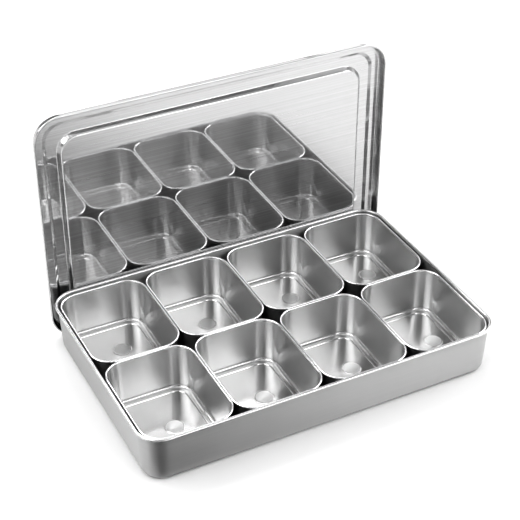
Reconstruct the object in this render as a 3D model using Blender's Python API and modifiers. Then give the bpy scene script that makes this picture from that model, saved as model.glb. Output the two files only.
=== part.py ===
"""Rectangular stainless steel spice box: a deep-drawn tray holding eight loose pans
in two rows of four, with its stamped lid stood on edge behind the tray.

Metres, +Z up. The origin is the centre of the tray's underside, on the surface that
the box stands on. +X runs along the long side and +Y from the front to the lid.
"""

import math

import bmesh
import bpy

# Tray: one sheet, drawn with a slight taper, its top edge rolled outwards.
TRAY_LENGTH = 0.4000
TRAY_WIDTH = 0.2640
TRAY_HEIGHT = 0.0560
TRAY_CORNER_RADIUS = 0.0270
TRAY_SHEET = 0.0007
TRAY_BEAD_WIDTH = 0.0033
TRAY_WALL_DRAFT = 0.0029
TRAY_FLOOR_FILLET = 0.0056

# Pans: eight alike, standing on the tray's floor with their rims side by side.
PAN_COLUMNS = 4
PAN_PITCH_X = 0.0976
PAN_PITCH_Y = 0.1274
PAN_ROW_SHIFT = -0.0012
PAN_NEIGHBOUR_GAP = 0.0004
PAN_RIM_HEIGHT = 0.0542
PAN_CORNER_RADIUS = 0.0230
PAN_SHEET = 0.0006
PAN_BEAD_WIDTH = 0.0022
PAN_WALL_DRAFT = 0.0024
PAN_FLOOR_FILLET = 0.0042
PAN_LEDGE_WIDTH = 0.0022
PAN_STEP_WIDTH = 0.0010
PAN_STEP_DEPTH = 0.0012

# Lid: one sheet, here stood upright with its underside towards the tray.
LID_LENGTH = 0.4055
LID_WIDTH = 0.2690
LID_CORNER_RADIUS = 0.0300
LID_SHEET = 0.0007
LID_BEAD_WIDTH = 0.0024
LID_SKIRT_DEPTH = 0.0103
LID_SKIRT_BEND = 0.0025
LID_FLANGE_WIDTH = 0.0075
LID_OUTER_STEP_WIDTH = 0.0034
LID_OUTER_STEP_DEPTH = 0.0019
LID_MARGIN_WIDTH = 0.0108
LID_PANEL_STEP_WIDTH = 0.0038
LID_PANEL_STEP_DEPTH = 0.0048
LID_STEP_RADIUS = 0.0200
LID_SHIFT_X = 0.0030
LID_FRONT_Y = 0.1255

RESTING_GAP = 0.0003
CORNER_SEGMENTS = 5
PAN_CORNER_SEGMENTS = 4


def clear_scene():
    for old in list(bpy.data.objects):
        bpy.data.objects.remove(old, do_unlink=True)


def make_collection(name):
    collection = bpy.data.collections.new(name)
    bpy.context.scene.collection.children.link(collection)
    return collection


def make_steel(name, shade, roughness):
    material = bpy.data.materials.new(name)
    material.use_nodes = True
    shader = material.node_tree.nodes["Principled BSDF"]
    shader.inputs["Base Color"].default_value = (shade, shade, shade * 1.01, 1.0)
    shader.inputs["Metallic"].default_value = 1.0
    shader.inputs["Roughness"].default_value = roughness
    return material


def arc(centre_inset, centre_level, radius, start, end, steps):
    """Points of a section's arc, as (inset, level); the angles are in degrees."""
    points = []
    for step in range(steps + 1):
        angle = math.radians(start + (end - start) * step / steps)
        inset = centre_inset + radius * math.cos(angle)
        level = centre_level + radius * math.sin(angle)
        points.append((inset, level))
    return points


def rolled_rim(bead_width, sheet, top):
    """Mid-line of a rim rolled outwards, from the wall's top to the bead's free edge."""
    radius = (bead_width - sheet) / 2
    middle = bead_width / 2
    points = arc(middle, top - sheet / 2 - radius, radius, 0, 180, 4)
    points.append((sheet / 2, top - sheet / 2 - 1.6 * radius))
    return points


def outline_point(place, segments, length, width, radius, level):
    """A point of a rounded rectangle lying flat, counted round from its +X, +Y corner."""
    corner, step = divmod(place, segments + 1)
    side_x, side_y = ((1, 1), (-1, 1), (-1, -1), (1, -1))[corner]
    angle = math.radians(90 * corner + 90 * step / segments)
    x = side_x * (length / 2 - radius) + radius * math.cos(angle)
    y = side_y * (width / 2 - radius) + radius * math.sin(angle)
    return (x, y, level)


def extrude_outline(builder, edges):
    """Grow one band of faces outwards: its new vertices, and the edges that join them."""
    grown = bmesh.ops.extrude_edge_only(builder, edges=edges)["geom"]
    vertices = [item for item in grown if isinstance(item, bmesh.types.BMVert)]
    fresh = set(vertices)
    outer = []
    for item in grown:
        if isinstance(item, bmesh.types.BMEdge) and fresh.issuperset(item.verts):
            outer.append(item)
    return vertices, outer


def pressed_sheet(name, length, width, radius, section, segments):
    """The middle surface of one pressed sheet, from a section of (inset, level) or
    (inset, level, radius) that runs from the sheet's flat middle out to its edge."""
    builder = bmesh.new()
    places = builder.verts.layers.int.new("place")
    for place in range(4 * (segments + 1)):
        builder.verts.new((0.0, 0.0, 0.0))[places] = place
    vertices = list(builder.verts)
    builder.faces.new(vertices)
    edges = list(builder.edges)
    for index, (inset, level, *own_radius) in enumerate(section):
        if index > 0:
            vertices, edges = extrude_outline(builder, edges)
        corner = own_radius[0] if own_radius else radius - inset
        for vertex in vertices:
            vertex.co = outline_point(
                vertex[places], segments, length - 2 * inset, width - 2 * inset, corner, level
            )
    bmesh.ops.recalc_face_normals(builder, faces=builder.faces)
    mesh = bpy.data.meshes.new(name)
    builder.to_mesh(mesh)
    builder.free()
    mesh.shade_smooth()
    mesh.set_sharp_from_angle(angle=math.radians(40))
    return mesh


def add_part(collection, name, mesh, sheet, material, location, rotation=(0.0, 0.0, 0.0)):
    part = bpy.data.objects.new(name, mesh)
    collection.objects.link(part)
    part.location = location
    part.rotation_euler = rotation
    thickness = part.modifiers.new("sheet_thickness", "SOLIDIFY")
    thickness.thickness = sheet
    thickness.offset = 0.0
    thickness.use_even_offset = True
    if not mesh.materials:
        mesh.materials.append(material)
    return part


def tray_section():
    """From the flat floor, up the floor fillet and the tapered wall, to the rolled rim."""
    floor = TRAY_SHEET / 2
    wall_top = TRAY_BEAD_WIDTH - TRAY_SHEET / 2
    wall_foot = wall_top + TRAY_WALL_DRAFT
    fillet = TRAY_FLOOR_FILLET
    section = arc(wall_foot + fillet, floor + fillet, fillet, 270, 180, 3)
    section += rolled_rim(TRAY_BEAD_WIDTH, TRAY_SHEET, TRAY_HEIGHT)
    return section


def pan_section():
    """From the sunk middle of the floor, over its step and ledge, up to the rolled rim."""
    floor = PAN_SHEET / 2
    ledge = floor + PAN_STEP_DEPTH
    wall_top = PAN_BEAD_WIDTH - PAN_SHEET / 2
    wall_foot = wall_top + PAN_WALL_DRAFT
    fillet = PAN_FLOOR_FILLET
    ledge_start = wall_foot + fillet + PAN_LEDGE_WIDTH
    section = [(ledge_start + PAN_STEP_WIDTH, floor), (ledge_start, ledge)]
    section += arc(wall_foot + fillet, ledge + fillet, fillet, 270, 180, 3)
    section += rolled_rim(PAN_BEAD_WIDTH, PAN_SHEET, pan_height())
    return section


def pan_height():
    return PAN_RIM_HEIGHT - TRAY_SHEET - RESTING_GAP


def lid_section():
    """From the sunk middle panel out over the margin and the flange, and down the
    skirt to its rolled edge. The lid lies with its underside down, edge at level 0."""
    half = LID_SHEET / 2
    flange = LID_SKIRT_DEPTH + half
    margin = flange + LID_OUTER_STEP_DEPTH
    panel = margin - LID_PANEL_STEP_DEPTH
    flange_outer = LID_BEAD_WIDTH + LID_SKIRT_BEND
    flange_inner = flange_outer + LID_FLANGE_WIDTH
    margin_outer = flange_inner + LID_OUTER_STEP_WIDTH
    margin_inner = margin_outer + LID_MARGIN_WIDTH
    panel_edge = margin_inner + LID_PANEL_STEP_WIDTH
    section = [
        (panel_edge, panel, LID_STEP_RADIUS - LID_PANEL_STEP_WIDTH / 2),
        (margin_inner, margin, LID_STEP_RADIUS + LID_PANEL_STEP_WIDTH / 2),
        (margin_outer, margin, LID_STEP_RADIUS - LID_OUTER_STEP_WIDTH / 2),
        (flange_inner, flange, LID_STEP_RADIUS),
    ]
    bend = LID_SKIRT_BEND + half
    section += arc(flange_outer, flange - bend, bend, 90, 180, 3)
    hook = (LID_BEAD_WIDTH - LID_SHEET) / 2
    section += arc(LID_BEAD_WIDTH / 2, half + hook, hook, 0, -180, 4)
    section.append((half, half + 1.6 * hook))
    return section


def build_tray(collection):
    material = make_steel("satin_steel_tray", 0.62, 0.34)
    mesh = pressed_sheet(
        "tray", TRAY_LENGTH, TRAY_WIDTH, TRAY_CORNER_RADIUS, tray_section(), CORNER_SEGMENTS
    )
    add_part(collection, "tray", mesh, TRAY_SHEET, material, (0.0, 0.0, 0.0))


def build_pans(collection):
    material = make_steel("satin_steel_pan", 0.66, 0.27)
    length = PAN_PITCH_X - PAN_NEIGHBOUR_GAP
    width = PAN_PITCH_Y - PAN_NEIGHBOUR_GAP
    mesh = pressed_sheet(
        "pan", length, width, PAN_CORNER_RADIUS, pan_section(), PAN_CORNER_SEGMENTS
    )
    base = TRAY_SHEET + RESTING_GAP
    for row, side in (("front", -1), ("rear", 1)):
        y = PAN_ROW_SHIFT + side * PAN_PITCH_Y / 2
        for column in range(PAN_COLUMNS):
            x = (column - (PAN_COLUMNS - 1) / 2) * PAN_PITCH_X
            name = f"pan_{row}_{column + 1}"
            add_part(collection, name, mesh, PAN_SHEET, material, (x, y, base))


def build_lid(collection):
    material = make_steel("polished_steel_lid", 0.74, 0.08)
    mesh = pressed_sheet(
        "lid", LID_LENGTH, LID_WIDTH, LID_CORNER_RADIUS, lid_section(), CORNER_SEGMENTS
    )
    standing = (-math.pi / 2, 0.0, 0.0)
    place = (LID_SHIFT_X, LID_FRONT_Y, LID_WIDTH / 2)
    add_part(collection, "lid", mesh, LID_SHEET, material, place, standing)


def main():
    clear_scene()
    collection = make_collection("spice_box")
    build_tray(collection)
    build_pans(collection)
    build_lid(collection)


main()
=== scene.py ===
# %% [markdown]
# # A rectangular steel spice box
#
# The box is a set of pressed stainless steel sheets: a shallow tray, eight loose pans
# that stand in it side by side, and a lid that stands on its long edge behind them.
# A press makes all three in the same way. It pushes one flat sheet over a form, so each
# piece is a stack of rounded rectangles with one thickness all over. They could be
# carved out of blocks with booleans, but then every fillet would have to be cut twice,
# inside and out. The lesson follows the press instead: each piece starts as a flat floor
# and is extruded, ring by ring, up its walls and round its rolled edge.
#
# The packed model gives the sizes and places. It is loaded first and never changed.

# %% Load the packed model
import math

import bmesh
import bpy
from mathutils import Matrix, Vector


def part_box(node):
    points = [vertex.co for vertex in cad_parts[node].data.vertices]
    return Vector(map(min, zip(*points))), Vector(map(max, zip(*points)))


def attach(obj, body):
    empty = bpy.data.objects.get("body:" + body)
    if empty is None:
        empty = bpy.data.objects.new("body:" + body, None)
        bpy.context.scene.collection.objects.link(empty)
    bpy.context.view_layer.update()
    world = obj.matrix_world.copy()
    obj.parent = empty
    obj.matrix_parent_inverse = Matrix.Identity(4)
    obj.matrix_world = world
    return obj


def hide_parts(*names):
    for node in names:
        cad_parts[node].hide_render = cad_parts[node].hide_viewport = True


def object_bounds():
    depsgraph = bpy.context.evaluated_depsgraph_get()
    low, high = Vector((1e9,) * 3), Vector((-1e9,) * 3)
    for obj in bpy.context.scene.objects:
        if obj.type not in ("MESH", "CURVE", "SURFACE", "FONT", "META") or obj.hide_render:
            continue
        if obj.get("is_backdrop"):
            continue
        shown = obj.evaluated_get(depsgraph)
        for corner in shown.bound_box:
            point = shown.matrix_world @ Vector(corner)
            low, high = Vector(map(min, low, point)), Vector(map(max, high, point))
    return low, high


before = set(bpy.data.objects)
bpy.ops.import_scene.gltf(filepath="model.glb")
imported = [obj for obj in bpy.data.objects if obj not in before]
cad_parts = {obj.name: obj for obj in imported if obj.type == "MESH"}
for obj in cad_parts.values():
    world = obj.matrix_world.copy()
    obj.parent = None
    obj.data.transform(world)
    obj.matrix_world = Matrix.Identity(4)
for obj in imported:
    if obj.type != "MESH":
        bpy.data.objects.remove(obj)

cad_low, cad_high = (list(corner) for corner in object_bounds())
print("packed model, lowest corner", [round(value, 4) for value in cad_low])
print("packed model, highest corner", [round(value, 4) for value in cad_high])

# %% [markdown]
# ## Sizes
#
# A pressed sheet is described by its outline, seen from above, and by its section, seen
# from the side. Typing every size in again would invite mistakes, so the outlines are
# measured on the packed model. The section's small sizes, such as a fillet's radius,
# can't be measured from a box, so they are written here as the model has them, in metres.
# A step is given as its width and its depth.

# %% Outlines, from the packed model
tray_low, tray_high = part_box("tray")
lid_low, lid_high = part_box("lid")
pan_low, pan_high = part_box("pan_front_1")
TRAY_LENGTH, TRAY_WIDTH = tray_high.x - tray_low.x, tray_high.y - tray_low.y
PAN_LENGTH, PAN_WIDTH = pan_high.x - pan_low.x, pan_high.y - pan_low.y
LID_LENGTH, LID_WIDTH = lid_high.x - lid_low.x, lid_high.z - lid_low.z
for name, length, width in (
    ("tray", TRAY_LENGTH, TRAY_WIDTH),
    ("pan", PAN_LENGTH, PAN_WIDTH),
    ("lid", LID_LENGTH, LID_WIDTH),
):
    print(f"{name}: {length * 1000:.1f} x {width * 1000:.1f} mm")

# %% Small sizes
TRAY = dict(height=0.0560, corner=0.0270, sheet=0.0007, bead=0.0033, draft=0.0029, fillet=0.0056)
PAN = dict(height=0.0532, corner=0.0230, sheet=0.0006, bead=0.0022, draft=0.0024, fillet=0.0042)
LID = dict(corner=0.0300, sheet=0.0007, bead=0.0024, skirt=0.0103, bend=0.0025)
LEDGE_WIDTH = 0.0022
FLOOR_STEP = (0.0010, 0.0012)
FLANGE_WIDTH = 0.0075
OUTER_STEP = (0.0034, 0.0019)
MARGIN_WIDTH = 0.0108
PANEL_STEP = (0.0038, 0.0048)
LID_STEP_CORNER = 0.0200
for name, sizes in (("tray", TRAY), ("pan", PAN), ("lid", LID)):
    print(f"{name} sheet: {sizes['sheet'] * 1000:.1f} mm thick")

# %% [markdown]
# ## A section that a press could make
#
# No bend in pressed sheet is sharp. The Bevel modifier could round every edge alike, but
# each bend here has its own radius. So `soften` takes a section with sharp corners and
# rounds each one with an arc. It also adds a point close beside each arc: without it the
# smooth shading of the arc would leak across the whole flat face next to it, and a
# mirror finish shows such a leak as a dent.

# %% Round the corners of a section
SUPPORT = 0.0004


def soften(points, radii, steps):
    """A section of (inset, level) points, each inner corner rounded with its own radius."""
    soft = [Vector(points[0])]
    for before, corner, after, radius in zip(points, points[1:], points[2:], radii):
        corner = Vector(corner)
        back = (Vector(before) - corner).normalized()
        ahead = (Vector(after) - corner).normalized()
        half = back.angle(ahead) / 2
        reach = radius / math.tan(half)
        middle = corner + (back + ahead).normalized() * (radius / math.sin(half))
        soft.append(corner + back * (reach + SUPPORT))
        start = corner + back * reach - middle
        finish = corner + ahead * reach - middle
        for step in range(steps + 1):
            soft.append(middle + start.slerp(finish, step / steps).normalized() * radius)
        soft.append(corner + ahead * (reach + SUPPORT))
    soft.append(Vector(points[-1]))
    return soft


BEND_STEPS = 6
softened = soften([(0, 0), (1, 0), (1, 1)], [0.1], BEND_STEPS)
print("a softened corner has", len(softened) - 2, "points")

# %% [markdown]
# ## A rounded rectangle, and how to count round it
#
# Seen from above, the real sheets are rectangles with round corners. Bevelling a square
# would make one such ring, but the next would have to match it vertex for vertex. A
# formula gives every ring the same number of points in the same order, and each vertex
# keeps its place number in a layer of the mesh. A new ring is an extrusion of the last,
# which copies the numbers, so its vertices can be moved to where the formula wants them.
# Each straight side also has a support point beside each corner, for the same reason as
# in the section.

# %% Outline formula
SIDE_SUPPORT = 0.0015
CORNERS = ((1, 1, 0), (-1, 1, 90), (-1, -1, 180), (1, -1, 270))


def outline(length, width, radius, steps):
    """Points round a rounded rectangle: four corners of steps + 1 points and two supports."""
    points = []
    for side_x, side_y, start in CORNERS:
        centre = Vector((side_x * (length / 2 - radius), side_y * (width / 2 - radius)))
        rays = []
        for step in range(steps + 1):
            angle = math.radians(start + 90 * step / steps)
            rays.append(Vector((math.cos(angle), math.sin(angle))))
        along_first = Vector((rays[0].y, -rays[0].x))
        along_last = Vector((-rays[-1].y, rays[-1].x))
        points.append(centre + rays[0] * radius + along_first * SIDE_SUPPORT)
        points += [centre + ray * radius for ray in rays]
        points.append(centre + rays[-1] * radius + along_last * SIDE_SUPPORT)
    return points


def parallel_outlines(section, length, width, corner, steps):
    """Outlines that all keep the same distance from the outermost one."""
    return [
        outline(length - 2 * point.x, width - 2 * point.x, corner - point.x, steps)
        for point in section
    ]


TRAY_CORNER_STEPS = 20
tray_outline = outline(TRAY_LENGTH, TRAY_WIDTH, TRAY["corner"], TRAY_CORNER_STEPS)
print("the tray's outline has", len(tray_outline), "points")

# %% Distances along a line of points
def distances(points, closed):
    """How far along a line of points each one is."""
    ring = points + [points[0]] if closed else points
    total, found = 0.0, [0.0]
    for first, second in zip(ring, ring[1:]):
        total += (second - first).length
        found.append(total)
    return found


print("round the tray's rim:", round(distances(tray_outline, True)[-1], 3), "m")

# %% [markdown]
# ## Pressing a sheet
#
# A press turns a flat blank into floor, walls and rim without a seam. A grid could be
# pushed into shape, but its faces would cross the corners. Rings follow them, so
# `create_circle` with its ends capped gives the floor, a filled ring with the right
# number of vertices, and the rest is one `extrude_edge_only` for each section point.

# %% Extrude one ring
def extrude_ring(builder, edges):
    """Extrude a ring of edges: the new vertices, and the edges that join them."""
    grown = bmesh.ops.extrude_edge_only(builder, edges=edges)["geom"]
    vertices = [item for item in grown if isinstance(item, bmesh.types.BMVert)]
    fresh = set(vertices)
    joined = [
        item for item in grown
        if isinstance(item, bmesh.types.BMEdge) and fresh.issuperset(item.verts)
    ]
    return vertices, joined


def grow_rings(builder, section, outlines):
    """The floor, then a ring for each section point: the layers that number them."""
    places = builder.verts.layers.int.new("place")
    rings = builder.verts.layers.int.new("ring")
    count = len(outlines[0])
    circle = bmesh.ops.create_circle(builder, cap_ends=True, radius=1.0, segments=count)
    vertices, edges = circle["verts"], list(builder.edges)
    for index, vertex in enumerate(vertices):
        vertex[places] = index
    for ring, (point, shape) in enumerate(zip(section, outlines)):
        if ring:
            vertices, edges = extrude_ring(builder, edges)
        for vertex in vertices:
            vertex[rings] = ring
            vertex.co = (*shape[vertex[places]], point.y)
    put_in_order(builder, places, rings, count)
    return places, rings


def put_in_order(builder, places, rings, count):
    """Sort a mesh by its numbers, because an extrusion leaves it in no fixed order."""
    builder.verts.sort(key=lambda vertex: vertex[rings] * count + vertex[places])
    builder.verts.index_update()
    total = len(builder.verts)
    for parts in (builder.edges, builder.faces):
        numbers = {part: [vertex.index for vertex in part.verts] for part in parts}
        parts.sort(key=lambda part: max(numbers[part]) * total + min(numbers[part]))


trial = bmesh.new()
grow_rings(trial, [Vector((0.0, 0.0)), Vector((0.0, 0.1))], [tray_outline, tray_outline])
print("a floor and one ring:", len(trial.faces), "faces")
trial.free()

# %% [markdown]
# ## Maps for the polishing lines
#
# A belt polishes the walls round and round, and a brush strokes the lid from side to
# side. Patterns on Object coordinates can't turn a corner, so two UV maps are laid, both
# in metres. `round` runs round the piece and up its section, as the belt does, and
# `plan` is the piece seen from above. The maps are made while the place numbers are
# known, because no unwrapping tool keeps such exact lengths.

# %% Lay the two maps
def lay_maps(builder, places, rings, around, along):
    """Store the two UV maps, in metres, on every corner of every face."""
    belt = builder.loops.layers.uv.new("round")
    plan = builder.loops.layers.uv.new("plan")
    last = len(around) - 2
    for face in builder.faces:
        wraps = any(vertex[places] == last for vertex in face.verts)
        for loop in face.loops:
            place = loop.vert[places]
            distance = around[-1] if wraps and place == 0 else around[place]
            loop[belt].uv = (distance, along[loop.vert[rings]])
            loop[plan].uv = loop.vert.co.xy


def add_object(name, data):
    """A new object in the scene, at the origin."""
    added = bpy.data.objects.new(name, data)
    bpy.context.scene.collection.objects.link(added)
    return added


def press(name, section, outlines, sheet, place):
    """One pressed sheet: section points inside out, and for each its outline in plan.
    Solidify gives it its thickness, half to each side."""
    builder = bmesh.new()
    places, rings = grow_rings(builder, section, outlines)
    lay_maps(builder, places, rings, distances(outlines[-1], True), distances(section, False))
    bmesh.ops.recalc_face_normals(builder, faces=builder.faces)
    mesh = bpy.data.meshes.new(name)
    builder.to_mesh(mesh)
    builder.free()
    mesh.transform(place)
    mesh.shade_smooth()
    piece = add_object(name, mesh)
    wall = piece.modifiers.new("sheet", "SOLIDIFY")
    wall.thickness = sheet
    wall.offset = 0.0
    wall.use_even_offset = True
    return piece


# %% [markdown]
# ## The rolled rim
#
# Bare sheet would cut a hand, so every free edge of the real pieces is curled outwards
# into a bead. A round tube along the edge would look the same from above, but from
# below a real bead shows its open curl. So the section itself continues past half a turn
# and ends inside the bead. A joint point just below it keeps the wall's shading flat.

# %% Section of a rim
RIM_STEPS = 12
CURL_DEGREES = 225
RIM_JOINT = Vector((0.0001, -0.0010))


def arc(centre, radius, start, end, steps):
    """Points of an arc in a section, between two angles in degrees."""
    points = []
    for step in range(steps + 1):
        angle = math.radians(start + (end - start) * step / steps)
        reach = (radius * math.cos(angle), radius * math.sin(angle))
        points.append(Vector((centre[0] + reach[0], centre[1] + reach[1])))
    return points


def rolled_rim(bead, sheet, top):
    """Curl from the wall's top, over the bead and back under it, as section points."""
    radius = (bead - sheet) / 2
    centre = (bead / 2, top - sheet / 2 - radius)
    return arc(centre, radius, 0, CURL_DEGREES, RIM_STEPS)


print("a tray rim stands", round(TRAY["bead"] * 1000, 1), "mm proud of its wall")

# %% [markdown]
# ## The tray
#
# The real tray is a flat floor, a fillet, a wall that leans out by three millimetres so
# that the form pulls out of it, and the rim. A scaled box with a bevel would get the
# lean, but not the rim. Three points and the rim describe the whole section, and
# `soften` does the rest.

# %% Build the tray
FILLET_STEPS = 8
FLOOR_REACH = 3


def tray_section():
    """The sheet from its flat floor to its rim."""
    wall_top = TRAY["bead"] - TRAY["sheet"] / 2
    wall_foot = wall_top + TRAY["draft"]
    floor = TRAY["sheet"] / 2
    rim = rolled_rim(TRAY["bead"], TRAY["sheet"], TRAY["height"])
    start = (wall_foot + FLOOR_REACH * TRAY["fillet"], floor)
    lower = soften([start, (wall_foot, floor), tuple(rim[0])], [TRAY["fillet"]], FILLET_STEPS)
    return lower[:-1] + [rim[0] + RIM_JOINT] + rim


section = tray_section()
shapes = parallel_outlines(section, TRAY_LENGTH, TRAY_WIDTH, TRAY["corner"], TRAY_CORNER_STEPS)
tray = press("tray_sheet", section, shapes, TRAY["sheet"], Matrix.Identity(4))
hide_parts("tray")
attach(tray, "tray")
print("tray:", len(section), "rings,", len(tray.data.polygons), "faces before its thickness")

# %% [markdown]
# ## The pans
#
# A pan has one thing more than the tray: its floor sinks by a low step, which keeps a
# thin sheet from rattling. It also has a small round patch, etched dull and raised by a
# sixth of a millimetre. A loose disc on the floor could be the patch, but its edge would
# be a crack. Here the patch is the first rings of the same sheet. Its circle has as many
# points as the outline, and a quarter of them faces each corner, so the faces between
# the two never cross.

# %% Section of a pan
FLOOR_START = 0.0040
STEP_BEND = 0.0007
PATCH_RADIUS = 0.0105
PATCH_RISE = 0.00016
# How far each ring of the patch lies inside its edge, and its share of the rise.
PATCH_RINGS = (
    (0.0020, 0.5), (0.0013, 0.5), (0.0009, 1.0), (0.0004, 1.0), (0.0, 0.0), (-0.0004, 0.0),
)


def pan_section():
    """The sheet from the patch's first ring to its rim."""
    floor = PAN["sheet"] / 2
    ledge = floor + FLOOR_STEP[1]
    wall_foot = PAN["bead"] - PAN["sheet"] / 2 + PAN["draft"]
    step_top = wall_foot + PAN["fillet"] + LEDGE_WIDTH
    step_foot = step_top + FLOOR_STEP[0]
    rim = rolled_rim(PAN["bead"], PAN["sheet"], PAN["height"])
    corners = [
        (step_foot + FLOOR_START, floor), (step_foot, floor), (step_top, ledge),
        (wall_foot, ledge), tuple(rim[0]),
    ]
    lower = soften(corners, [STEP_BEND, STEP_BEND, PAN["fillet"]], BEND_STEPS)
    patch = []
    for inside, share in PATCH_RINGS:
        radius = PATCH_RADIUS - inside
        patch.append(Vector((PAN_WIDTH / 2 - radius, floor + share * PATCH_RISE)))
    return patch + lower[:-1] + [rim[0] + RIM_JOINT] + rim


print("a pan's section is", round(distances(pan_section(), False)[-1], 4), "m long")

# %% Outlines of a pan
PAN_CORNER_STEPS = 14


def patch_circle(count, centre, radius):
    """A circle of evenly spaced points; each quarter of them faces one outline corner."""
    angles = [2 * math.pi * (index + 0.5) / count for index in range(count)]
    return [centre + Vector((math.cos(angle), math.sin(angle))) * radius for angle in angles]


def pan_outlines(section, centre):
    """A circle for each ring of the patch, then the outlines of floor, wall and rim."""
    sheet = section[len(PATCH_RINGS):]
    shapes = parallel_outlines(sheet, PAN_LENGTH, PAN_WIDTH, PAN["corner"], PAN_CORNER_STEPS)
    circles = [
        patch_circle(len(shapes[0]), centre, PATCH_RADIUS - inside)
        for inside, share in PATCH_RINGS
    ]
    return circles + shapes


print("a pan's rim has", len(pan_outlines(pan_section(), Vector((0, 0)))[-1]), "points")

# %% Build the eight pans
PATCH_X = (0.006, 0.009, 0.015, 0.019)
PATCH_Y = {"front": 0.003, "rear": 0.014}
section = pan_section()
pans = []
for row in ("front", "rear"):
    for column in range(4):
        node = f"pan_{row}_{column + 1}"
        low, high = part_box(node)
        middle = (low + high) / 2
        shapes = pan_outlines(section, Vector((PATCH_X[column], PATCH_Y[row])))
        place = Matrix.Translation((middle.x, middle.y, low.z))
        pan = press(f"{node}_sheet", section, shapes, PAN["sheet"], place)
        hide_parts(node)
        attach(pan, node)
        pans.append(pan)
print(len(pans), "pans,", len(pans[0].data.polygons), "faces each before their thickness")

# %% [markdown]
# ## The lid
#
# The real lid is stamped: a middle panel, a step up to a margin, a low step down to a
# flange, and a skirt with a rolled edge that goes over the tray's rim. Insets with
# depth would give the steps, but with sharp bends. It is pressed like the others, lying
# with its underside down, then stood up with that side towards the tray. Its steps have
# rounder corners than its skirt, so its outlines aren't parallel all the way in.

# %% Section of the lid
PANEL_START = 0.0060
PANEL_BEND = 0.0016
OUTER_BEND = 0.0014


def lid_insets():
    """How far inside the skirt's edge the lid's bends lie, from the outermost inwards."""
    bend_end = LID["bead"] + LID["bend"]
    flange_inner = bend_end + FLANGE_WIDTH
    margin_outer = flange_inner + OUTER_STEP[0]
    margin_inner = margin_outer + MARGIN_WIDTH
    return bend_end, flange_inner, margin_outer, margin_inner, margin_inner + PANEL_STEP[0]


def lid_section():
    """The sheet from its middle panel to the rolled edge of its skirt."""
    half = LID["sheet"] / 2
    flange = LID["skirt"] + half
    margin = flange + OUTER_STEP[1]
    panel = margin - PANEL_STEP[1]
    skirt = LID["bead"] - half
    _, flange_inner, margin_outer, margin_inner, panel_edge = lid_insets()
    hook = (LID["bead"] - LID["sheet"]) / 2
    curl = arc((LID["bead"] / 2, half + hook), hook, 0, -CURL_DEGREES, RIM_STEPS)
    corners = [
        (panel_edge + PANEL_START, panel), (panel_edge, panel), (margin_inner, margin),
        (margin_outer, margin), (flange_inner, flange), (skirt, flange), tuple(curl[0]),
    ]
    radii = [PANEL_BEND, PANEL_BEND, OUTER_BEND, OUTER_BEND, LID["bend"] + half]
    return soften(corners, radii, BEND_STEPS)[:-1] + curl


print("the lid's section is", round(distances(lid_section(), False)[-1], 4), "m long")

# %% Corner radius of the lid's outlines
MIDDLE_REACH = 0.01


def lid_corner(inset):
    """Corner radius in plan: parallel down the skirt, then rounder for the two steps."""
    bend_end, flange_inner, margin_outer, margin_inner, panel_edge = lid_insets()
    knots = [
        (0.0, LID["corner"]),
        (bend_end, LID["corner"] - bend_end),
        (flange_inner, LID_STEP_CORNER),
        (margin_outer, LID_STEP_CORNER - OUTER_STEP[0] / 2),
        (margin_inner, LID_STEP_CORNER + PANEL_STEP[0] / 2),
        (panel_edge, LID_STEP_CORNER - PANEL_STEP[0] / 2),
        (panel_edge + MIDDLE_REACH, LID_STEP_CORNER - MIDDLE_REACH),
    ]
    for (start, first), (end, second) in zip(knots, knots[1:]):
        if inset <= end:
            return first + (second - first) * (inset - start) / (end - start)
    return knots[-1][1]


print("the lid's panel has corners of", round(lid_corner(lid_insets()[-1]) * 1000, 1), "mm")

# %% Build the lid and stand it up
LID_CORNER_STEPS = 20
LID_EDGE_Y = 0.1255
section = lid_section()
shapes = []
for point in section:
    length, width = LID_LENGTH - 2 * point.x, LID_WIDTH - 2 * point.x
    shapes.append(outline(length, width, lid_corner(point.x), LID_CORNER_STEPS))
lid_middle = Vector(((lid_low.x + lid_high.x) / 2, LID_EDGE_Y, LID_WIDTH / 2))
standing = Matrix.Translation(lid_middle) @ Matrix.Rotation(-math.pi / 2, 4, "X")
lid = press("lid_sheet", section, shapes, LID["sheet"], standing)
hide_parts("lid")
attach(lid, "lid")
print("lid:", len(section), "rings,", len(lid.data.polygons), "faces before its thickness")

# %% [markdown]
# ## Writing a finish as arithmetic
#
# A finish is a small sum: base roughness, plus a little grain, less a little where hands
# and other pans have polished the rim. Joining Math nodes by hand would hide that sum.
# `Value` wraps one output of a node, and Python's own operators on it add the Math
# nodes. Every other node comes from `Graph.node`, for the room as for the steel.

# %% A number that changes over a surface
class Value:
    """One output of a node, which can be added, subtracted and multiplied."""

    def __init__(self, graph, socket):
        self.graph = graph
        self.socket = socket

    def calculate(self, operation, first, second):
        return self.graph.node("ShaderNodeMath", {"operation": operation}, {0: first, 1: second})

    def __add__(self, other):
        return self.calculate("ADD", self, other)

    __radd__ = __add__

    def __mul__(self, other):
        return self.calculate("MULTIPLY", self, other)

    __rmul__ = __mul__

    def __sub__(self, other):
        return self.calculate("SUBTRACT", self, other)

    def __rsub__(self, other):
        return self.calculate("SUBTRACT", other, self)


print("made:", Value.__doc__)

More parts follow.
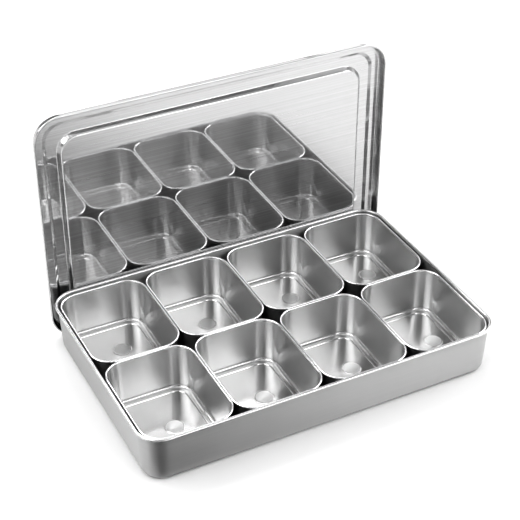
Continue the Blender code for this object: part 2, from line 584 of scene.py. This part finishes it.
# %% A tree of nodes
class Graph:
    """A node tree, and the one method, `node`, that adds any node to it."""

    def __init__(self, tree):
        self.tree = tree

    def connect(self, socket, value):
        if isinstance(value, Value):
            self.tree.links.new(value.socket, socket)
        else:
            socket.default_value = value

    def node(self, kind, settings, inputs, output=0):
        added = self.tree.nodes.new(kind)
        for name, value in settings.items():
            setattr(added, name, value)
        for key, value in inputs.items():
            self.connect(added.inputs[key], value)
        return Value(self, added.outputs[output])

    def ramp(self, value, low, high, start=0.0, end=1.0):
        """Go smoothly from start to end as the value goes from low to high."""
        limits = {"From Min": low, "From Max": high, "To Min": start, "To Max": end}
        settings = {"interpolation_type": "SMOOTHSTEP"}
        return self.node("ShaderNodeMapRange", settings, {"Value": value, **limits})

    def split(self, vector, axis):
        """One of a vector's three numbers."""
        return self.node("ShaderNodeSeparateXYZ", {}, {"Vector": vector}, axis)


print("made:", Graph.__doc__)

# %% A finish
ACROSS_THE_LINES = 0.25


class Finish(Graph):
    """A material round one Principled shader."""

    def __init__(self, name, view_colour, metallic, roughness, brushed=0.0):
        self.material = bpy.data.materials.new(name)
        self.material.use_nodes = True
        super().__init__(self.material.node_tree)
        self.shader = self.tree.nodes["Principled BSDF"]
        self.shader.inputs["Metallic"].default_value = metallic
        self.shader.inputs["Roughness"].default_value = roughness
        self.shader.inputs["Base Color"].default_value = view_colour
        self.shader.inputs["Anisotropic"].default_value = brushed
        self.shader.inputs["Anisotropic Rotation"].default_value = ACROSS_THE_LINES
        self.material.diffuse_color = view_colour

    def feed(self, **sockets):
        for name, value in sockets.items():
            self.connect(self.shader.inputs[name.replace("_", " ")], value)

    def mix_shader(self, share, other):
        """Mix a share of another shader over the finish's own one."""
        own = Value(self, self.shader.outputs[0])
        mixed = self.node("ShaderNodeMixShader", {}, {0: share, 1: own, 2: other})
        self.tree.links.new(mixed.socket, self.tree.nodes["Material Output"].inputs["Surface"])

    def place(self):
        """Where a point is, in metres, in the piece's own space."""
        return self.node("ShaderNodeTexCoord", {}, {}, "Object")

    def map(self, name, stretch):
        """One of the piece's UV maps, stretched."""
        place = self.node("ShaderNodeUVMap", {"uv_map": name}, {})
        return self.node("ShaderNodeMapping", {}, {"Vector": place, "Scale": stretch})

    def noise(self, vector, scale, detail, roughness):
        inputs = {"Vector": vector, "Scale": scale, "Detail": detail, "Roughness": roughness}
        return self.node("ShaderNodeTexNoise", {}, inputs, "Fac")


print("brushed steel spreads light", ACROSS_THE_LINES, "of a turn from its tangent")

# %% [markdown]
# ## What the steel finishes share
#
# All three pieces are the same alloy, and only the polish differs. Polished sheet still
# carries the fine lines of the belt or brush that polished it. They are made as noise
# that changes a few times a metre along the lines and thousands of times across them.
# A second, broad noise is the faint cloudiness that a press leaves. Masks come from the
# distance along the section, which the `round` map holds.

# %% Lines, clouds and masks
def belt_lines(finish, map_name, changes):
    """Fine lines, from 0 to 1, with so many changes a metre along and across them."""
    return finish.noise(finish.map(map_name, (*changes, 1.0)), 1.0, 3.0, 0.6)


def cloudiness(finish, changes):
    """Broad soft patches, from 0 to 1, with so many changes a metre."""
    return finish.noise(finish.place(), changes, 2.0, 0.5)


def section_distance(finish):
    """How far along the section a point is, in metres from the middle outwards."""
    return finish.split(finish.node("ShaderNodeUVMap", {"uv_map": "round"}, {}), "Y")


def near_edge(finish, section, band):
    """A mask that rises over a band, given as its two distances from the free edge."""
    length = distances(section, False)[-1]
    return finish.ramp(section_distance(finish), length - band[0], length - band[1])


print("masks on the pans run along", round(distances(pan_section(), False)[-1], 3), "m of section")

# %% Colours and bumps
# Painted highlight: the lighter grey that the rims of the tray and the pans are mixed towards, so
# that they shine brighter than the rest of the same steel.
RIM_HIGHLIGHT_GREY = (0.86, 0.86, 0.865, 1.0)
# A Mix node has sockets for every kind of value; these are the ones for colours.
MIX_MASK, MIX_FIRST, MIX_SECOND, MIX_RESULT = 0, 6, 7, 2


def mix_colours(finish, mask, first, second):
    """The first colour where the mask is 0, and the second where it is 1."""
    inputs = {MIX_MASK: mask, MIX_FIRST: first, MIX_SECOND: second}
    return finish.node("ShaderNodeMix", {"data_type": "RGBA"}, inputs, MIX_RESULT)


def two_greys(finish, mask, greys):
    """Mix a darker and a lighter grey by a mask."""
    dark, light = greys
    return mix_colours(finish, mask, (dark, dark, dark, 1.0), (light, light, light, 1.0))


def bump(finish, height, strength, distance):
    inputs = {"Height": height, "Strength": strength, "Distance": distance}
    return finish.node("ShaderNodeBump", {}, inputs)


# The rims' lighter grey is a painted highlight; rubbing made them only smoother.
print("a rubbed edge reflects", RIM_HIGHLIGHT_GREY[0], "of the light")

# %% [markdown]
# ## Satin steel of the tray
#
# The tray is the dullest piece. A belt has run round its walls, so highlights spread
# into soft bands across the lines, and only the rim has been rubbed smoother; its
# lighter grey is a painted highlight. Grooves in the mesh would need millions of faces.
# Stretched noise draws the lines, in colour, roughness and a slight bump, and the
# shader's own anisotropy spreads the highlights, which no bump this fine could do.

# %% Satin steel
TRAY_LINES = (14.0, 5200.0)
TRAY_STREAKS = (5.0, 1100.0)
TRAY_CLOUDS = 22.0
TRAY_GREYS = (0.40, 0.55)
TRAY_RIM_BAND = (0.0062, 0.0052)


def satin_steel():
    finish = Finish("satin_tray_steel", (0.50, 0.50, 0.505, 1.0), 1.0, 0.44, 0.92)
    lines = belt_lines(finish, "round", TRAY_LINES)
    streaks = belt_lines(finish, "round", TRAY_STREAKS)
    clouds = cloudiness(finish, TRAY_CLOUDS)
    rim = near_edge(finish, tray_section(), TRAY_RIM_BAND)
    shade = streaks * 0.6 + lines * 0.2 + clouds * 0.2
    colour = two_greys(finish, shade, TRAY_GREYS)
    # Painted highlight on the rim: its base colour is mixed part way to the lighter rim grey. Its
    # lower roughness is real polish.
    finish.feed(
        Base_Color=mix_colours(finish, rim * 0.6, colour, RIM_HIGHLIGHT_GREY),
        Roughness=0.40 + lines * 0.05 + streaks * 0.05 + clouds * 0.04 - rim * 0.24,
        Normal=bump(finish, lines, 0.10, 0.0002),
    )
    return finish.material


tray.data.materials.append(satin_steel())
print("tray finish:", tray.data.materials[0].name)

# %% [markdown]
# ## Soft-polished steel of the pans
#
# The pans are pressed from sheet that was polished while it was flat. Drawing dulled
# their walls a little, their rims are nearly mirrors, and the etched patch is frosted.
# The rims' lighter grey is a painted highlight. Four materials could do that, but they
# would meet in hard seams. One material with three masks fades from one finish to the
# next, as the real sheet does.

# %% Soft-polished steel
PAN_LINES = (16.0, 5600.0)
PAN_CLOUDS = 30.0
PAN_GREYS = (0.60, 0.66)
PAN_RIM_BAND = (0.0042, 0.0034)
PAN_WALL_BAND = (0.056, 0.050)
PATCH_BAND = (0.0004, 0.0011)
FROST_CHANGES = 900.0


def pan_steel():
    finish = Finish("soft_polished_pan_steel", (0.62, 0.62, 0.625, 1.0), 1.0, 0.25, 0.80)
    lines = belt_lines(finish, "round", PAN_LINES)
    clouds = cloudiness(finish, PAN_CLOUDS)
    rim = near_edge(finish, pan_section(), PAN_RIM_BAND)
    wall = near_edge(finish, pan_section(), PAN_WALL_BAND)
    patch = finish.ramp(section_distance(finish), *PATCH_BAND, 1.0, 0.0)
    frost = patch * finish.noise(finish.map("plan", (1.0, 1.0, 1.0)), FROST_CHANGES, 3.0, 0.7)
    colour = two_greys(finish, lines * 0.2 + clouds * 0.8 + frost, PAN_GREYS)
    rough = 0.15 + wall * 0.11 + lines * 0.02 + clouds * 0.03 - rim * 0.13 + patch * 0.20
    # Painted highlight on the rims: their base colour is the lighter rim grey. Their lower
    # roughness is real polish.
    finish.feed(
        Base_Color=mix_colours(finish, rim, colour, RIM_HIGHLIGHT_GREY),
        Roughness=rough,
        Normal=bump(finish, frost * 6.0, 0.015, 0.0002),
    )
    return finish.material


steel = pan_steel()
for pan in pans:
    pan.data.materials.append(steel)
print("pan finish:", steel.name)

# %% [markdown]
# ## Mirror-polished steel of the lid
#
# The lid's underside is polished until it mirrors the pans, but fine brush lines still
# lie in the polish and scatter some of the light. More roughness would blur the whole
# reflection. So two shaders are mixed: a sharp mirror, and a dull haze that takes about
# a quarter of it, and a little more along the lines.

# %% Mirror with haze
LID_LINES = (5.0, 1500.0)
LID_STREAKS = (2.5, 520.0)
LID_CLOUDS = 18.0
LID_GREYS = (0.60, 0.63)
HAZE_ROUGHNESS = 0.28
HAZE_SHARE = 0.25
LINE_EDGES = (0.35, 0.75)


def lid_steel():
    finish = Finish("mirror_lid_steel", (0.72, 0.72, 0.725, 1.0), 1.0, 0.08, 0.5)
    lines = belt_lines(finish, "plan", LID_LINES)
    streaks = belt_lines(finish, "plan", LID_STREAKS)
    clouds = cloudiness(finish, LID_CLOUDS)
    colour = two_greys(finish, lines * 0.5 + streaks * 0.5, LID_GREYS)
    finish.feed(
        Base_Color=colour,
        Roughness=0.012 + lines * 0.010 + clouds * 0.010,
        Normal=bump(finish, lines, 0.01, 0.0001),
    )
    haze = finish.node("ShaderNodeBsdfPrincipled", {}, {
        "Base Color": colour, "Metallic": 1.0, "Roughness": HAZE_ROUGHNESS,
    })
    on_streaks = finish.ramp(streaks, *LINE_EDGES)
    on_lines = finish.ramp(lines, *LINE_EDGES)
    finish.mix_shader(HAZE_SHARE + on_streaks * 0.07 + on_lines * 0.03, haze)
    return finish.material


lid.data.materials.append(lid_steel())
print("lid finish:", lid.data.materials[0].name)

# %% [markdown]
# ## The floor
#
# The box stands on pale matt paper. A curved backdrop would hide the horizon from one
# side only. A flat floor that turns transparent far out does it from every side: there
# the pale room behind it shows, and no edge is seen.

# %% Floor
FLOOR_HALF_SIZE = 6.0
FLOOR_GAP = 0.0003
FLOOR_PAINT = (0.82, 0.82, 0.82, 1.0)
FLOOR_FADE = (1.3, 2.6)


def flat_square(name, half_size, middle):
    """A level square, facing up."""
    builder = bmesh.new()
    bmesh.ops.create_grid(builder, x_segments=1, y_segments=1, size=half_size)
    mesh = bpy.data.meshes.new(name)
    builder.to_mesh(mesh)
    builder.free()
    mesh.transform(Matrix.Translation(middle))
    return add_object(name, mesh)


def make_floor():
    floor = flat_square("studio_floor", FLOOR_HALF_SIZE, (0.0, 0.0, cad_low[2] - FLOOR_GAP))
    paint = Finish("pale_floor", FLOOR_PAINT, 0.0, 0.9)
    length = {"operation": "LENGTH"}
    reach = paint.node("ShaderNodeVectorMath", length, {0: paint.place()}, "Value")
    beyond = paint.ramp(reach, *FLOOR_FADE)
    paint.mix_shader(beyond, paint.node("ShaderNodeBsdfTransparent", {}, {}))
    floor.data.materials.append(paint.material)
    floor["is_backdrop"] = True


make_floor()
print("the floor fades out from", FLOOR_FADE[0], "to", FLOOR_FADE[1], "m")

# %% [markdown]
# ## A black card
#
# Shiny metal on a pale floor loses its near edge, because it mirrors the floor. A studio
# lays a black card there, just out of view. A dark lamp doesn't exist, and a darker
# floor would change the picture everywhere. So a card it is: only reflections see it,
# and its Alpha fades out towards its sides, so the dark ends softly. Its black is painted
# shade: it darkens the floor that the metal mirrors in front of the box.

# %% Black card
CARD_HALF_SIZE = 0.5
CARD_MIDDLE = (-0.05, tray_low.y - CARD_HALF_SIZE, 0.001)
CARD_RIGHT = (-0.24, 0.16)
CARD_LEFT = (-0.34, -0.24)
CARD_FRONT = (-0.50, -0.16)


def make_card():
    card = flat_square("black_card", CARD_HALF_SIZE, CARD_MIDDLE)
    card.visible_camera = False
    card.visible_diffuse = False
    card.visible_shadow = False
    # Painted shade: this black is seen only in reflections, where it darkens the mirrored floor in
    # front of the box.
    paper = Finish("painted_shade_card", (0.01, 0.01, 0.01, 1.0), 0.0, 1.0)
    x, y = paper.split(paper.place(), "X"), paper.split(paper.place(), "Y")
    right = paper.ramp(x, *CARD_RIGHT, 1.0, 0.0)
    paper.feed(Alpha=right * paper.ramp(x, *CARD_LEFT) * paper.ramp(y, *CARD_FRONT))
    card.data.materials.append(paper.material)
    card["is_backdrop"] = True


make_card()
print("the card ends", round(CARD_RIGHT[1] - tray_low.x, 2), "m from the tray's left side")

# %% [markdown]
# ## Soft boxes
#
# Steel has no look of its own: it shows the room. One broad lamp would give every wall
# the same grey. A dome of soft boxes in four rings lets each wall mirror a brightness of
# its own. The table gives, for each ring, its elevation and the boxes' width and height,
# and for each box how far round from the front it hangs, in degrees, and its brightness.

# %% Lights
STUDIO_RADIUS = 2.0
LIGHTS_AIM_AT = Vector((0.0, 0.0, 0.05))
SOFT_BOXES = {
    (16, 0.95, 0.85): {0: 0.6, 30: 1.1, 60: 0.3, 90: 1.0, 150: 0.6, 180: 1.6},
    (38, 0.6, 0.8): {
        0: 0.9, 20: 2.3, 40: 1.3, 60: 4.1, 80: 3.4, 100: 2.4, 140: 0.9,
        160: 0.7, 220: 3.6, 240: 2.6, 260: 2.8, 280: 2.3, 300: 1.5, 340: 0.4,
    },
    (60, 0.75, 0.75): {40: 0.2, 120: 0.1, 160: 1.5, 200: 4.5, 280: 1.1, 320: 0.4},
    (84, 1.3, 1.3): {0: 0.6},
}


def soft_box(elevation, azimuth, width, height, brightness):
    """A rectangle of even light that faces the box, at an angle round from its front."""
    name = f"soft_box_{elevation}_{azimuth}"
    up, turn = math.radians(elevation), math.radians(azimuth)
    level = math.cos(up)
    direction = Vector((math.sin(turn) * level, -math.cos(turn) * level, math.sin(up)))
    lamp = bpy.data.lights.new(name, "AREA")
    lamp.shape = "RECTANGLE"
    lamp.size, lamp.size_y = width, height
    lamp.energy = brightness * math.pi * width * height
    light = add_object(name, lamp)
    light.location = direction * STUDIO_RADIUS + LIGHTS_AIM_AT
    light.rotation_euler = (-direction).to_track_quat("-Z", "Y").to_euler()


for (elevation, width, height), boxes in SOFT_BOXES.items():
    for azimuth, brightness in boxes.items():
        soft_box(elevation, azimuth, width, height, brightness)
print(sum(len(boxes) for boxes in SOFT_BOXES.values()), "soft boxes")

# %% [markdown]
# ## The room
#
# Between the soft boxes the metal mirrors the room itself, and behind the floor the
# room is what a viewer sees. Walls could be built, but they would block the lights. A
# ramp on how high a direction points is enough: pale near the horizon, where it meets
# the floor, and dim overhead, so that it doesn't wash the metal out.

# %% Room
HORIZON, OVERHEAD = 0.10, 0.30
HORIZON_LIGHT, OVERHEAD_LIGHT = 0.80, 0.06
world = bpy.data.worlds.new("studio_room")
world.use_nodes = True
room = Graph(world.node_tree)
upwards = room.split(room.node("ShaderNodeTexCoord", {}, {}, "Generated"), "Z")
background = world.node_tree.nodes["Background"]
room.connect(background.inputs["Color"], (1.0, 1.0, 1.0, 1.0))
room.connect(
    background.inputs["Strength"],
    room.ramp(upwards, HORIZON, OVERHEAD, HORIZON_LIGHT, OVERHEAD_LIGHT),
)
bpy.context.scene.world = world
print("the room is", round(HORIZON_LIGHT / OVERHEAD_LIGHT), "times brighter at the horizon")

# %% [markdown]
# ## The camera
#
# The box is seen from the front left and above, through a long lens that keeps its rows
# of pans nearly parallel. Depth of field could part the box from its background, but
# the background is plain, so everything stays sharp. A look with high contrast brings
# out the bright rims against the shaded walls. Light bounces many times between pans
# that mirror each other, so the limits on bounces are raised.

# %% Camera
LENS, SENSOR = 95.04, 36.0
EYE = (-0.53055, -1.01916, 0.92496)
TILT, TURN = 55.05, -26.91
camera_data = bpy.data.cameras.new("camera")
camera_data.lens = LENS
camera_data.sensor_width = SENSOR
camera = add_object("camera", camera_data)
camera.location = EYE
camera.rotation_euler = (math.radians(TILT), 0.0, math.radians(TURN))
bpy.context.scene.camera = camera
bpy.context.scene.view_settings.view_transform = "Standard"
bpy.context.scene.view_settings.look = "High Contrast"
bpy.context.scene.cycles.max_bounces = 16
bpy.context.scene.cycles.glossy_bounces = 12
print("the camera is", round(camera.location.length, 2), "m from the middle of the tray")

# %% [markdown]
# ## The finished box
#
# A visual piece could drift away from the packed model without anyone seeing it. So the
# last cell measures the finished model's box, sets it beside the packed model's, and prints it.

# %% Finish
final_low, final_high = (list(corner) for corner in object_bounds())
sizes = {"cad": [cad_low, cad_high], "visual": [final_low, final_high]}
print("finished model, lowest corner", [round(value, 4) for value in final_low])
print("finished model, highest corner", [round(value, 4) for value in final_high])
